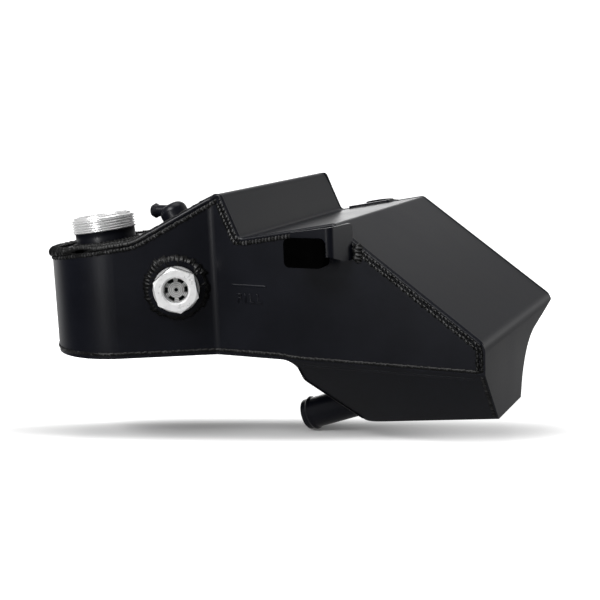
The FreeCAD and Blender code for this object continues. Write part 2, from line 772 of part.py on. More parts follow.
groove_half = s.ear_thick / 2 + s.grommet_gap
grommet_half = groove_half + s.grommet_face
grommet_bore_r = s.sleeve_r + s.grommet_gap
grommet = turned("ear_grommet", [
    (grommet_bore_r, -grommet_half), (s.grommet_r, -grommet_half),
    (s.grommet_r, -groove_half), (s.grommet_groove_r, -groove_half),
    (s.grommet_groove_r, groove_half), (s.grommet_r, groove_half),
    (s.grommet_r, grommet_half), (grommet_bore_r, grommet_half)])
bolt_place = dict(x=bolt_x, y=bolt_y, z=bolt_z, pitch=-flat_angle, roll=-s.ear_droop)
finish(grommet, "ear_grommet", **bolt_place)
sleeve = ring("ear_sleeve", s.sleeve_bore_r, s.sleeve_r, -grommet_half, grommet_half)
finish(sleeve, "ear_sleeve", **bolt_place)

doc.recompute()

# Every object is sound before anything is written
for item in doc.Objects:
    if {"Invalid", "Error"} & set(item.State):
        raise RuntimeError(f"{item.Label} failed: {item.State}")
for item in finished:
    if item.Shape.isNull() or not item.Shape.isValid() or not item.Shape.Solids:
        raise RuntimeError(f"{item.Label} has no sound solid")

os.makedirs("parts", exist_ok=True)
for item in finished:
    item.Shape.exportStep(f"parts/{item.Label}.step")
    print(f"{item.Label}: {len(item.Shape.Solids)} solid, {item.Shape.Volume / 1000:.1f} cm3")
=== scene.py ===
import math
import bmesh
import bpy
import numpy as np
from mathutils import Matrix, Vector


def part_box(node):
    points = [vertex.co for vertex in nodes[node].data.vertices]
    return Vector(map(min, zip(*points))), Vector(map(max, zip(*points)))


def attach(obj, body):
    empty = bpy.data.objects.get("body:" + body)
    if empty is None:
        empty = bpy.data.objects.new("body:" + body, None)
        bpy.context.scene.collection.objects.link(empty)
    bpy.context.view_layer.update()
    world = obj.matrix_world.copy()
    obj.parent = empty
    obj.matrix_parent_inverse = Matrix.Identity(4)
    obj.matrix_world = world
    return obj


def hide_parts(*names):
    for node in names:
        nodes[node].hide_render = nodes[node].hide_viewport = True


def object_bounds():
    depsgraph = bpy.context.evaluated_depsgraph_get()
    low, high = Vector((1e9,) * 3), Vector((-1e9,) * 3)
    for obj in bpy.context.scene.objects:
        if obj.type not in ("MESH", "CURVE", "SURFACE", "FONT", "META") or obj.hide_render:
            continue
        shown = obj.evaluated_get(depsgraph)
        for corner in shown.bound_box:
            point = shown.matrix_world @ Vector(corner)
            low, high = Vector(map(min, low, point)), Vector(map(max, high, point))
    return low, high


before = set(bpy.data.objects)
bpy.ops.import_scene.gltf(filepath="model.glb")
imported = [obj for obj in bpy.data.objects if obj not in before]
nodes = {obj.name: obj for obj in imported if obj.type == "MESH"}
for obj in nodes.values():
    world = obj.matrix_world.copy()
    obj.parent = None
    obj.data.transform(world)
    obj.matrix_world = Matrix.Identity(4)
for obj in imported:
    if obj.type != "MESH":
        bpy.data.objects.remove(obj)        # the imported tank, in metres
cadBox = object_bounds()
mm = 0.001
lineStep = 0.4           # mm between points along an outline or a bead
arcPoints = 13           # points on a rounded corner
nosePoints = 240         # points round the nose
rng = np.random.default_rng(7)
print("frame loaded,", len(nodes), "nodes")

# The tank's own sizes in mm, from the foot of the front fold; a pair is a place in x and z
tank = {
    "gauge": 3.0,
    "wallLen": 198.0,
    "depth": 178.0,
    "foldRound": 4.0,
    "bendRound": 10.0,
    "rampRound": 25.0,
    "endRound": 10.0,
    "noseLift": 89.9,             # height of the nose's top, carried on to x = 0
    "noseTilt": 7.0,              # degrees
    "rampX": -50.0,
    "peak": (7.4, 117.2),
    "valley": (22.0, 84.4),
    "crest": (94.4, 96.3),
    "endZ": 19.9,
    "nose": (-85.8, 10.4),        # the nose's centre in x and y
    "noseR": 50.0,
    "rearX": 8.0,
    "seamBack": 21.0,
    "riseY": 98.0,
    "rise": 17.0,
    "keelFront": (43.7, -53.6),   # the keel's front corner in y and z
    "sumpX": 61.3,
    "sumpEndZ": -37.6,
    "sumpRound": 7.0,
    "knee": (61.5, -17.3),
    "toe": (97.3, -53.6),
}
noseTilt = math.radians(tank["noseTilt"])
noseSlope = math.tan(noseTilt)
rampZ = tank["noseLift"] + noseSlope * tank["rampX"]
datum = np.array([
    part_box("top_sheet")[1].x - tank["wallLen"] * mm,
    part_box("rear_wall")[1].y - tank["depth"] * mm,
    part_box("front_wall")[0].z - tank["gauge"] * mm,
])


def unitRows(rows):
    # each row divided by its own length
    return rows / np.linalg.norm(rows, axis=-1, keepdims=True)


def evenly(line):
    # the same line with points at even steps of its length; columns past the third are carried along
    run = np.concatenate([[0.0], np.cumsum(np.linalg.norm(np.diff(line[:, :3], axis=0), axis=1))])
    count = max(3, int(round(run[-1] / lineStep)) + 1)
    at = np.linspace(0.0, run[-1], count)
    return np.stack([np.interp(at, run, line[:, k]) for k in range(line.shape[1])], axis=1)


def roundedLine(corners, radii):
    # straight runs joined by tangent arcs: a corner of radius r is cut back by r times the tangent
    # of half its turn on both runs, and the arc between is swept at even angles
    corners = [np.array(c, float) for c in corners]
    parts = [corners[0][None]]
    for before, at, after, r in zip(corners, corners[1:], corners[2:], radii):
        a, b = unitRows(at - before), unitRows(after - at)
        turn = math.atan2(a[0] * b[1] - a[1] * b[0], a @ b)
        start = at - a * r * math.tan(abs(turn) / 2)
        hub = start + math.copysign(r, turn) * np.array([-a[1], a[0]])
        t = np.linspace(0.0, turn, arcPoints)[:, None]
        arm = start - hub
        parts.append(hub + arm * np.cos(t) + np.array([-arm[1], arm[0]]) * np.sin(t))
    parts.append(corners[-1][None])
    return evenly(np.concatenate(parts))


def arcAbout(centre, radius, start, stop, count):
    # a circle's points from one angle to another
    t = np.linspace(start, stop, count)
    return np.stack([centre[0] + radius * np.cos(t), centre[1] + radius * np.sin(t)], axis=1)


def dress(item, finish, slotName, *stands):
    # a made piece rides on the tank, takes its finish and may stand for solids
    item.data.materials.append(finish)
    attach(item, "root")
    if stands:
        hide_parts(*stands)
    return item


closing = {"same": 1e-6, "thin": 1e-7}      # metres: points that are joined, edges that are dropped


def surface(name, grid, loopU=False, loopV=False, tag=None, bounded=True):
    # a grid of points (along, around, xyz) in mm becomes quads; rows or columns may close on
    # themselves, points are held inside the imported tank's box, those that coincide are joined and the
    # faces are turned outwards by the volume's sign
    n, m = grid.shape[:2]
    rows = np.arange(n if loopU else n - 1)
    cols = np.arange(m if loopV else m - 1)
    i, j = np.meshgrid(rows, cols, indexing="ij")
    i2, j2 = (i + 1) % n, (j + 1) % m
    quads = np.stack([i * m + j, i2 * m + j, i2 * m + j2, i * m + j2], axis=-1).reshape(-1, 4)
    points = (grid.reshape(-1, 3) * mm + datum).astype(np.float64)
    if bounded:
        points = np.clip(points, np.array(cadBox[0]), np.array(cadBox[1]))
    a, b, c, d = (points[quads[:, k]] - points.mean(0) for k in range(4))
    volume = np.einsum("ij,ij->i", a, np.cross(b, c) + np.cross(c, d)).sum()
    if volume < 0:
        quads = quads[:, ::-1]
    mesh = bpy.data.meshes.new(name)
    mesh.from_pydata(points, [], quads)
    if tag is not None:
        values = mesh.attributes.new(tag[0], "FLOAT", "POINT")
        values.data.foreach_set("value", tag[1].reshape(-1).astype(np.float32))
    work = bmesh.new()
    work.from_mesh(mesh)
    bmesh.ops.remove_doubles(work, verts=work.verts, dist=closing["same"])
    bmesh.ops.dissolve_degenerate(work, dist=closing["thin"], edges=work.edges)
    work.to_mesh(mesh)
    work.free()
    mesh.polygons.foreach_set("use_smooth", np.ones(len(mesh.polygons), bool))
    item = bpy.data.objects.new(name, mesh)
    bpy.context.scene.collection.objects.link(item)
    return item


class Wire:
    # one shader value: arithmetic on it adds Math nodes to its tree
    def __init__(self, tree, socket=None):
        self.tree = tree
        self.socket = socket

    def node(self, kind, settings=None, sockets=None, out=0):
        made = self.tree.nodes.new("ShaderNode" + kind)
        for key, value in (settings or {}).items():
            setattr(made, key, value)
        for key, value in (sockets or {}).items():
            if isinstance(value, Wire):
                self.tree.links.new(value.socket, made.inputs[key])
            else:
                made.inputs[key].default_value = value
        return Wire(self.tree, made.outputs[out] if made.outputs else None)

    def other(self, out):
        # another output of the same node
        return Wire(self.tree, self.socket.node.outputs[out])

    def maths(self, operation, first, second=0.0):
        # one Math node
        return self.node("Math", {"operation": operation}, {0: first, 1: second})

    def __add__(self, other):
        return self.maths("ADD", self, other)

    def __sub__(self, other):
        return self.maths("SUBTRACT", self, other)

    def __rsub__(self, other):
        return self.maths("SUBTRACT", other, self)

    def __mul__(self, other):
        return self.maths("MULTIPLY", self, other)

    def __truediv__(self, other):
        return self.maths("DIVIDE", self, other)

    def __pow__(self, other):
        return self.maths("POWER", self, other)

    __radd__ = __add__
    __rmul__ = __mul__

    def fade(self, low, high):
        # 0 below low, 1 above high, smooth between
        return self.node("MapRange", {"interpolation_type": "SMOOTHSTEP"},
                         {"Value": self, "From Min": low, "From Max": high})

    def place(self):
        # the object's own coordinates
        return self.node("TexCoord", out=3)

    def tagged(self, name):
        # a piece's own attribute
        return self.node("Attribute", {"attribute_name": name}, out=2)

    def noise(self, at, scale, detail=2.0, rough=0.5):
        # cloudy noise about a half
        return self.node("TexNoise", {}, {"Vector": at, "Scale": scale, "Detail": detail, "Roughness": rough})

    def lines(self, along, scale):
        # tool marks: noise of one coordinate alone
        return self.node("TexNoise", {"noise_dimensions": "1D"}, {"W": along, "Scale": scale, "Detail": 3.0})

    def along(self, at, axis):
        # how far a point lies along an axis
        return self.node("VectorMath", {"operation": "DOT_PRODUCT"}, {0: at, 1: axis}, out=1)

    def apart(self, at, point):
        # how far a point lies from another
        return self.node("VectorMath", {"operation": "DISTANCE"}, {0: at, 1: point}, out=1)

    def bump(self, height, strength, deep):
        # a normal tilted by a height
        return self.node("Bump", {}, {"Height": height, "Strength": strength, "Distance": deep})

    def blendColour(self, first, second):
        # this value mixes two colours
        return self.node("Mix", {"data_type": "RGBA"}, {0: self, 6: first, 7: second}, out=2)


def newFinish(name):
    # an empty material and the wire that its nodes hang on
    finish = bpy.data.materials.new(name)
    finish.use_nodes = True
    tree = finish.node_tree
    tree.nodes.clear()
    return finish, Wire(tree)


def close(wire, sockets):
    # the surface shader and its output
    shader = wire.node("BsdfPrincipled", {}, sockets)
    wire.node("OutputMaterial", {}, {"Surface": shader})


def shade(value, tint=(1.0, 1.0, 1.0)):
    # a grey times a tint, opaque
    return (value * tint[0], value * tint[1], value * tint[2], 1.0)


# Scales of patterns are per metre, depths of bumps in metres
coat = {
    "dark": shade(0.0029, (0.8, 0.92, 1.65)),
    "pale": shade(0.0054, (0.8, 0.92, 1.6)),
    "rough": 0.34,
    "mirror": 0.30,       # a fraction of a plain gloss coat
    "ior": 1.46,
    "cloud": 22.0,        # slow drift in shade and gloss
    "orange": 260.0,      # ripple of the coat
    "grain": 1500.0,      # powder grain
    "drift": 0.10,        # how far gloss wanders
    "deep": 0.0003,
}


def blackCoat(name, rough, lift):
    # powder coat: grain and orange peel in the bump, slow drift in shade and gloss
    finish, w = newFinish(name)
    at = w.place()
    cloud = w.noise(at, coat["cloud"], 3.0)
    peel = w.noise(at, coat["orange"], 2.0)
    grain = w.noise(at, coat["grain"], 3.0, 0.6)
    tone = (cloud * 0.6 + grain * 0.4).fade(0.3, 0.7)
    close(w, {
        "Base Color": tone.blendColour(coat["dark"], coat["pale"]),
        "Roughness": rough + (cloud - 0.5) * coat["drift"] + (grain - 0.5) * coat["drift"],
        "Normal": w.bump(peel * 0.6 + grain * 0.4, lift, coat["deep"]),
        "IOR": coat["ior"],
        "Specular IOR Level": coat["mirror"],
    })
    return finish


# the pale crest colour is a painted highlight on the weld ripples; the hollow colour is the coat's own
ripplePaint = {"hollow": shade(0.0022), "crest": shade(0.07, (1.0, 1.0, 1.03)), "low": 0.25, "high": 0.85,
        "rough": 0.4, "polish": 0.12, "bump": 0.12}


def weldCoat(name):
    # coat over weld ripples: the raised front of each coin is painted paler, a painted highlight, and made
    # smoother, and the hollows stay dark
    finish, w = newFinish(name)
    at = w.place()
    crest = w.tagged("crest")
    grain = w.noise(at, coat["grain"], 3.0, 0.6)
    paintedGlint = (crest + (grain - 0.5) * 0.3).fade(ripplePaint["low"], ripplePaint["high"])
    close(w, {
        "Base Color": paintedGlint.blendColour(ripplePaint["hollow"], ripplePaint["crest"]),
        "Roughness": ripplePaint["rough"] - paintedGlint * ripplePaint["polish"],
        "Normal": w.bump(grain, ripplePaint["bump"], coat["deep"]),
        "IOR": coat["ior"],
        "Specular IOR Level": coat["mirror"],
    })
    return finish


turned = {"smudge": 140.0, "dull": 0.86, "bump": 0.25, "deep": 0.0001}


def bareMetal(name, bright, rough, axis, pitch):
    # turned metal: fine tool lines across an axis, smudges in the gloss
    finish, w = newFinish(name)
    at = w.place()
    lines = w.lines(w.along(at, axis), pitch)
    smudge = w.noise(at, turned["smudge"], 3.0)
    tone = (lines * 0.7 + smudge * 0.3).fade(0.25, 0.75)
    close(w, {
        "Base Color": tone.blendColour(shade(bright * turned["dull"]), shade(bright, (1.0, 1.0, 1.01))),
        "Metallic": 1.0,
        "Roughness": rough + (smudge - 0.5) * 0.14 + (lines - 0.5) * 0.1,
        "Normal": w.bump(lines, turned["bump"], turned["deep"]),
    })
    return finish


machined = {"lines": 5200.0, "smudge": 160.0, "dull": shade(0.8), "bright": shade(0.95), "metal": 0.55,
            "rough": 0.2, "ragged": 0.35, "edge": (0.42, 0.58), "bump": 0.2, "deep": 0.0001}


def neckMetal(name, axis):
    # the neck: bare and machined above the collar, coated below, by the piece's own attribute
    s = machined
    finish, w = newFinish(name)
    at = w.place()
    bare = w.tagged("bare")
    lines = w.lines(w.along(at, axis), s["lines"])
    smudge = w.noise(at, s["smudge"], 3.0)
    grain = w.noise(at, coat["grain"], 3.0, 0.6)
    edge = (bare + (smudge - 0.5) * s["ragged"]).fade(*s["edge"])
    metal = (lines * 0.7 + smudge * 0.3).fade(0.25, 0.75).blendColour(s["dull"], s["bright"])
    paint = grain.fade(0.3, 0.7).blendColour(coat["dark"], coat["pale"])
    metalGloss = s["rough"] + (smudge - 0.5) * 0.16
    paintGloss = coat["rough"] + (grain - 0.5) * coat["drift"]
    close(w, {
        "Base Color": edge.blendColour(paint, metal),
        "Metallic": edge * s["metal"],
        "Roughness": edge * metalGloss + (1.0 - edge) * paintGloss,
        "Normal": w.bump(lines * edge + grain * (1.0 - edge), s["bump"], s["deep"]),
        "IOR": coat["ior"],
    })
    return finish


moulded = {"bloom": 90.0, "stipple": 2200.0, "dark": shade(0.0002), "pale": shade(0.0006), "rough": 0.7,
           "mirror": 0.01, "bump": 0.18, "deep": 0.0002}


def rubber(name):
    # matt moulded rubber with a fine stipple and a dusty bloom
    s = moulded
    finish, w = newFinish(name)
    at = w.place()
    bloom = w.noise(at, s["bloom"], 4.0)
    stipple = w.noise(at, s["stipple"], 2.0)
    close(w, {
        "Base Color": bloom.fade(0.35, 0.8).blendColour(s["dark"], s["pale"]),
        "Roughness": s["rough"] + (bloom - 0.5) * 0.2,
        "Specular IOR Level": s["mirror"],
        "Normal": w.bump(stipple, s["bump"], s["deep"]),
    })
    return finish


def facePolar(w, at, centre, axis):
    # a point's two coordinates in the plane across an axis, and its height along that axis
    arm = w.node("VectorMath", {"operation": "SUBTRACT"}, {0: at, 1: centre})
    ways = ((-axis[1], axis[0], 0.0), (0.0, 0.0, 1.0), axis)
    return [w.along(arm, way) for way in ways]


# Radii in metres, and the cosine between slots, each as the two ends of a soft edge
slots = {"count": 6.0, "inner": (0.0054, 0.0061), "outer": (0.0078, 0.0085), "between": (-0.45, -0.05),
         "hub": (0.0012, 0.0017), "rings": 5200.0, "brushed": 900.0, "slotShade": shade(0.002),
         "groove": shade(0.5, (1.0, 0.97, 0.93)), "land": shade(1.0), "metal": 0.1, "rough": 0.42,
         "bump": 0.2, "deep": 0.0001}


def slottedPlate(name, centre, axis):
    # the reflector: satin grey with turned rings, and painted shade darkening its ring of slots and its hub;
    # a slot is where the radius lies in a band and the cosine of the slots' count times the angle is high
    s = slots
    finish, w = newFinish(name)
    at = w.place()
    level, height, _ = facePolar(w, at, centre, axis)
    radius = (level * level + height * height) ** 0.5
    lobes = w.maths("COSINE", w.maths("ARCTAN2", height, level) * s["count"])
    rings = w.maths("SINE", radius * s["rings"]) * 0.5 + 0.5
    brushed = w.noise(at, s["brushed"], 3.0)
    # painted shade: the band of slots and the hub are painted near black
    slotShade = radius.fade(*s["inner"]) * (1.0 - radius.fade(*s["outer"])) * lobes.fade(*s["between"])
    slotShade = w.maths("MAXIMUM", slotShade, 1.0 - radius.fade(*s["hub"]))
    plate = (rings * 0.6 + brushed * 0.4).fade(0.2, 0.7).blendColour(s["groove"], s["land"])
    close(w, {
        "Base Color": slotShade.blendColour(plate, s["slotShade"]),
        "Metallic": s["metal"] - slotShade * s["metal"],
        "Roughness": s["rough"] + (brushed - 0.5) * 0.2,
        "Normal": w.bump(rings, s["bump"], s["deep"]),
    })
    return finish


# Lengths in metres from the wall, along the nut's axis or across its flats
nut = {"normals": [math.radians(t) for t in (9.0, 69.0, 129.0)], "half": 0.0145, "base": 0.0080,
       "soft": 0.0006, "line": 0.0009, "smudge": 300.0, "lines": 4200.0, "dull": shade(0.86),
       "bright": shade(0.97), "flange": shade(0.5), "footShade": shade(0.03), "metal": 0.3, "shadeLessMetal": 0.25,
       "rough": 0.3, "bump": 0.15, "deep": 0.0001}


def hexMetal(name, centre, axis):
    # the bright nut: turned lines along its axis, a flange painted darker than the hexagon and a dark line
    # painted on the flange at the hexagon's foot, both painted shade; the hexagon's measure is the largest of
    # a point's distances along the normals of its three pairs of flats
    s = nut
    finish, w = newFinish(name)
    at = w.place()
    level, height, along = facePolar(w, at, centre, axis)
    spans = [w.maths("ABSOLUTE", level * math.cos(t) + height * math.sin(t)) for t in s["normals"]]
    span = w.maths("MAXIMUM", w.maths("MAXIMUM", spans[0], spans[1]), spans[2])
    # painted shade: the flange below the hexagon's base is darker, and darkest in a thin line at the
    # hexagon's foot
    low = 1.0 - along.fade(s["base"], s["base"] + s["soft"])
    footShade = low * (1.0 - span.fade(s["half"], s["half"] + s["line"]))
    smudge = w.noise(at, s["smudge"], 4.0)
    lines = w.lines(along, s["lines"])
    face = (smudge * 0.6 + lines * 0.4).fade(0.3, 0.7).blendColour(s["dull"], s["bright"])
    sides = low.blendColour(face, s["flange"])
    close(w, {
        "Base Color": footShade.blendColour(sides, s["footShade"]),
        "Metallic": s["metal"] - footShade * s["shadeLessMetal"],
        "Roughness": s["rough"] + (smudge - 0.5) * 0.2,
        "Normal": w.bump(lines + smudge, s["bump"], s["deep"]),
    })
    return finish


lens = {"clear": shade(0.97, (0.99, 1.0, 1.0)), "film": 180.0, "haze": 0.06, "ior": 1.46}


def lensGlass(name):
    # clear polished glass, with a faint film in its gloss
    finish, w = newFinish(name)
    film = w.noise(w.place(), lens["film"], 3.0)
    close(w, {
        "Base Color": lens["clear"],
        "Roughness": film.fade(0.4, 0.8) * lens["haze"],
        "Transmission Weight": 1.0,
        "IOR": lens["ior"],
    })
    return finish


wallTurn = (math.asin(tank["noseR"] / math.hypot(*tank["nose"]))
            + math.atan(tank["nose"][1] / tank["nose"][0]))
sight = {"along": 26.7, "height": 50.0, "bungR": 20.0}
sightAxis = (math.sin(wallTurn), -math.cos(wallTurn), 0.0)
sightPlace = np.array([
    -sight["along"] * math.cos(wallTurn), -sight["along"] * math.sin(wallTurn), sight["height"]])
sightAt = tuple(sightPlace * mm + datum)
neckAxis = (-math.sin(noseTilt), 0.0, math.cos(noseTilt))
sheetFinish = blackCoat("sheet coat", rough=coat["rough"], lift=0.14)
weldFinish = weldCoat("weld coat")
fittingFinish = blackCoat("fitting coat", rough=0.32, lift=0.12)
insideFinish = bareMetal("plain sheet", bright=0.72, rough=0.38, axis=(1.0, 0.0, 0.0), pitch=900.0)
nutFinish = hexMetal("bright nut", sightAt, sightAxis)
reflectorFinish = slottedPlate("grey reflector", sightAt, sightAxis)
zincFinish = bareMetal("zinc sleeve", bright=0.66, rough=0.3, axis=(0.0, 0.0, 1.0), pitch=3000.0)
neckFinish = neckMetal("machined neck", neckAxis)
rubberFinish = rubber("black rubber")
glassFinish = lensGlass("lens glass")
print("finishes made")

# Each solid's finish
carried = {
    "top_sheet": sheetFinish, "front_wall": sheetFinish, "rear_wall": sheetFinish,
    "bottom_pan": sheetFinish, "baffle": insideFinish, "filler_neck": neckFinish,
    "sight_bung": fittingFinish, "sight_seal": rubberFinish, "sight_body": nutFinish,
    "sight_gasket": rubberFinish, "sight_lens": glassFinish, "sight_retainer": nutFinish,
    "sight_reflector": reflectorFinish, "vent_nipple": fittingFinish, "outlet_tube": fittingFinish,
    "front_arm": fittingFinish, "arm_boot": rubberFinish, "rear_ear": fittingFinish,
    "ear_grommet": rubberFinish, "ear_sleeve": zincFinish,
}
for name, finish in carried.items():
    nodes[name].data.materials.clear()
    nodes[name].data.materials.append(finish)

# Outlines that the welds follow; both ends of the profile reach past the tank
profileEnds = {"left": 145.0, "low": -8.0}
sideLine = roundedLine(
    [(-profileEnds["left"], tank["noseLift"] - noseSlope * profileEnds["left"]), (tank["rampX"], rampZ),
     tank["peak"], tank["valley"], tank["crest"], (tank["wallLen"], tank["endZ"]),
     (tank["wallLen"], profileEnds["low"])],
    [tank["rampRound"], tank["foldRound"], tank["foldRound"], tank["foldRound"], tank["endRound"]])


def noseTouch(point, sign):
    # angle on the nose circle where a straight wall from a point meets it
    dx, dy = point[0] - tank["nose"][0], point[1] - tank["nose"][1]
    return math.atan2(dy, dx) + sign * math.acos(tank["noseR"] / math.hypot(dx, dy))


rearCorner = (tank["rearX"], tank["depth"])
frontTouch = noseTouch((0.0, 0.0), -1.0)
rearTouch = noseTouch(rearCorner, 1.0)
noseArc = arcAbout(tank["nose"], tank["noseR"], frontTouch, rearTouch - 2 * math.pi, nosePoints)
frontLine = roundedLine([(tank["wallLen"], 0.0), (0.0, 0.0), tuple(noseArc[0])], [tank["bendRound"]])
rearEnd = (tank["wallLen"], tank["depth"])
rearLine = roundedLine([tuple(noseArc[-1]), rearCorner, rearEnd], [tank["bendRound"]])
planLine = evenly(np.concatenate([frontLine, noseArc[1:-1], rearLine]))


def insetLine(line, by):
    # a line moved to its right by a set amount along its own normal
    way = unitRows(np.gradient(line, axis=0))
    return line + by * np.stack([way[:, 1], -way[:, 0]], axis=1)


def outward(line):
    # the outward direction of the plan outline, which runs clockwise from the front's right end
    way = unitRows(np.gradient(line, axis=0))
    return np.stack([-way[:, 1], way[:, 0], np.zeros(len(line))], axis=1)


normals = outward(planLine)
# Every bead's hand: points round it, each coin's change of size and side step, the powers of a coin's fall in
# height and in painted highlight, how far it narrows, and the painted highlight of an even bead and of the
# least lit coin
hand = {"around": 14, "size": 0.16, "step": 0.25, "tooth": 1.4, "fall": 1.3, "narrow": 0.28, "level": 0.55,
        "least": 0.4}


def weldBead(name, path, out, width, height, pitch, bow=0.35, ripple=0.5, weave=0.0, loop=False,
             sink=0.8, vary=1.0, finish=None, glintShare=1.0, even=0.0):
    # a closed tube along a seam: across it a half ellipse of the bead's width and height on a shallow keel,
    # along it a row of overlapping coins, each a saw tooth in height whose front is bowed by the square
    # of the distance from the middle; every coin has its own small change of size and side step, and with
    # neither ripple nor change it is a plain rounded rib; the crest tag is high on each coin's front, where
    # the coat paints a highlight
    way = np.roll(path, -1, 0) - np.roll(path, 1, 0) if loop else np.gradient(path, axis=0)
    way = unitRows(way)
    out = unitRows(out - way * np.sum(out * way, axis=1, keepdims=True))
    across = np.cross(way, out)
    steps = np.linalg.norm(np.diff(path, axis=0), axis=1)
    run = np.concatenate([[0.0], np.cumsum(steps)])
    total = run[-1] + (np.linalg.norm(path[0] - path[-1]) if loop else 0.0)
    coins = max(4, int(round(total / pitch)))
    spare = coins + 4                # bowed fronts reach past both ends
    angle = np.linspace(0.0, 2 * np.pi, hand["around"] + 1)[:-1]
    v, up = np.cos(angle), np.sin(angle)
    phase = run[:, None] / total * coins - bow * (1.0 - v[None] ** 2)
    coin = np.floor(phase).astype(int)
    part = phase - coin
    index = coin % coins if loop else np.clip(coin + 2, 0, spare - 1)
    size = 1.0 + hand["size"] * vary * (rng.random(spare) - 0.5)
    shift = hand["step"] * vary * (rng.random(spare) - 0.5) + weave * (-1.0) ** np.arange(spare)
    tooth = (1.0 - ripple * part ** hand["tooth"]) * size[index]
    spread = (1.0 - hand["narrow"] * ripple * part) * size[index]
    if loop:
        ends = np.ones(len(path))
    else:
        ends = np.sqrt(np.clip(np.minimum(run, run[-1] - run) / (0.5 * np.max(width)), 0.0, 1.0))
    wide = (np.broadcast_to(width, run.shape) * ends)[:, None] * spread * 0.5
    tall = (np.broadcast_to(height, run.shape) * ends)[:, None] * tooth
    rise = np.where(up[None] > 0, up[None] * tall, up[None] * sink * ends[:, None])
    aside = v[None] * wide + shift[index] * ends[:, None]
    grid = path[:, None] + across[:, None] * aside[..., None] + out[:, None] * rise[..., None]
    # painted highlight: the crest tag, which the coat paints paler, is highest on each coin's raised front
    # and upper half
    front = np.clip(1.0 - part, 0.0, 1.0) ** hand["fall"] * (1.0 - even) + hand["level"] * even
    paintedGlint = hand["least"] + (1.0 - hand["least"]) * rng.random(spare)[index]
    crest = front * np.clip(up[None], 0.0, 1.0) * paintedGlint
    crest = crest * np.broadcast_to(glintShare, run.shape)[:, None]
    item = surface(name, grid, loopU=loop, loopV=True, tag=("crest", crest))
    return dress(item, finish or weldFinish, "black_coat")


tail = {"from": 190.0, "foot": 1.5}      # x where the runs beside the end wall begin, and their lowest height


def topEdge(down, inward, test):
    # the top sheet's edge moved down square to the sheet and inwards square to the walls: the profile's
    # heights over the plan outline, with the upright runs beside the end wall at both ends; a test of x
    # and of the outward direction's y picks a stretch
    drawn = insetLine(sideLine, down)
    fore = drawn[(drawn[:, 0] > tail["from"]) & (drawn[:, 1] > tail["foot"])]
    rear = fore[fore[:, 1] > tank["rise"] + tail["foot"]]
    keep = planLine[:, 0] < tail["from"]
    level = np.interp(planLine[keep, 0], drawn[:, 0], drawn[:, 1])
    place = np.concatenate([
        np.column_stack([fore[::-1, 0], 0 * fore[:, 0], fore[::-1, 1]]),
        np.column_stack([planLine[keep], level]),
        np.column_stack([rear[:, 0], 0 * rear[:, 0] + tank["depth"], rear[:, 1]]),
    ])
    out = np.concatenate([
        np.tile((0.0, -1.0, 0.0), (len(fore), 1)),
        normals[keep],
        np.tile((0.0, 1.0, 0.0), (len(rear), 1)),
    ])
    chosen = test(place[:, 0], out[:, 1])
    both = evenly(np.column_stack([place - out * inward, out])[chosen])
    return both[:, :3], unitRows(both[:, 3:])


# The top sheet's rounded edge, and the welds under it: each stretch has its own hand
roll = {"inward": 1.3, "end": 195.9, "wide": 3.68, "high": 1.84, "pitch": 3.0}
path, out = topEdge(roll["inward"], roll["inward"], lambda x, y: x < roll["end"])
weldBead("edgeRoll", path, out, roll["wide"], roll["high"], roll["pitch"], ripple=0.0, sink=roll["high"],
         vary=0.0, finish=sheetFinish)
endless = 1000.0
frontOnly, frontAndNose = (-2.0, -0.9), (-2.0, 0.6)      # ranges of the outward direction's y
stretches = {
    "noseSeam": {"x": (-endless, 6.0), "faces": frontAndNose, "down": 4.3, "wide": 3.4, "high": 0.95,
                 "pitch": 2.3, "bow": 0.5, "ripple": 0.7, "weave": 0.15},
    "rearSeam": {"x": (-endless, endless), "faces": (0.6, 2.0), "down": 4.0, "wide": 4.0, "high": 1.0,
                 "pitch": 2.8, "bow": 0.4, "ripple": 0.5, "weave": 0.2},
    "steepEdge": {"x": (7.0, 23.5), "faces": frontOnly, "down": 1.9, "wide": 3.3, "high": 1.1,
                  "pitch": 2.7, "bow": 0.5, "ripple": 0.9, "weave": 0.1},
    "steepSeam": {"x": (5.0, 21.5), "faces": frontOnly, "down": 5.2, "wide": 3.4, "high": 1.3,
                  "pitch": 2.7, "bow": 0.5, "ripple": 0.9, "weave": 0.1},
    "flatSeam": {"x": (20.5, 95.5), "faces": frontOnly, "down": 3.6, "wide": 3.8, "high": 1.2,
                 "pitch": 2.6, "bow": 0.2, "ripple": 0.9, "weave": 0.0},
    "slopeUpper": {"x": (94.5, endless), "faces": frontOnly, "down": 2.5, "wide": 2.5, "high": 1.0,
                   "pitch": 2.7, "bow": 0.6, "ripple": 0.8, "weave": 0.2},
    "slopeLower": {"x": (93.5, endless), "faces": frontOnly, "down": 5.3, "wide": 2.8, "high": 1.1,
                   "pitch": 2.7, "bow": 0.6, "ripple": 0.8, "weave": -0.2},
}
# the painted highlight is cut back on the short upright run beside the end wall, so it shows darker
dimRun = {"from": 189.0, "less": 0.75}      # the short upright run is darker


def within(s):
    # a stretch's test: x and the outward direction's y both lie in its ranges
    return lambda x, y: (x > s["x"][0]) & (x < s["x"][1]) & (y >= s["faces"][0]) & (y < s["faces"][1])


for name, s in stretches.items():
    path, out = topEdge(s["down"], 0.0, within(s))
    glintShare = 1.0 - dimRun["less"] * (path[:, 0] > dimRun["from"]) * (path[:, 2] < tank["endZ"])
    weldBead(name, path, out, s["wide"], s["high"], s["pitch"], s["bow"], s["ripple"], s["weave"],
             glintShare=glintShare)

